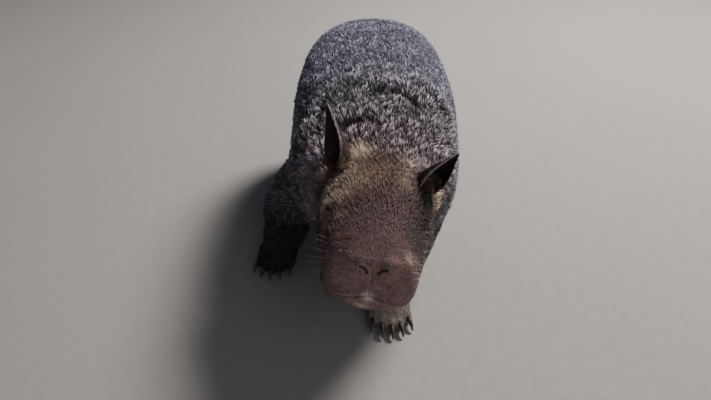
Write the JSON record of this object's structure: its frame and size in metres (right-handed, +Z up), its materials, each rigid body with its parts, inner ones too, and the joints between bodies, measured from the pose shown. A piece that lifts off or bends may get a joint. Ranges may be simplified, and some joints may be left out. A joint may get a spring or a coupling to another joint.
{
  "type": "wombat figure",
  "caption": "Life-size standing southern hairy-nosed wombat figure with a short coat, long pointed ears, a broad blunt muzzle and clawed paws.",
  "frame": {"origin": "on the floor under the middle of the outline seen from above", "axes": "+X to the animal's left, +Y from the nose to the rump, +Z up"},
  "size_m": [0.3694, 0.782, 0.3587],
  "materials": {
    "coat_grey": "short dense grizzled grey fur",
    "coat_brown": "very short warm brown fur",
    "ear_dark": "thin dark ear skin with sparse fur",
    "paw_dark": "dark short-furred paws with horn claws",
    "eye_black": "glossy near-black eye"
  },
  "bodies": {
    "root": {"torso": "coat_grey", "neck": "coat_grey", "tail": "coat_grey", "foreleg_left": "coat_grey", "foreleg_right": "coat_grey", "hindleg_left": "coat_grey", "hindleg_right": "coat_grey", "head": "coat_brown", "ear_left": "ear_dark", "ear_right": "ear_dark", "forepaw_left": "paw_dark", "forepaw_right": "paw_dark", "hindpaw_left": "paw_dark", "hindpaw_right": "paw_dark", "eye_left": "eye_black", "eye_right": "eye_black"}
  },
  "joints": []
}
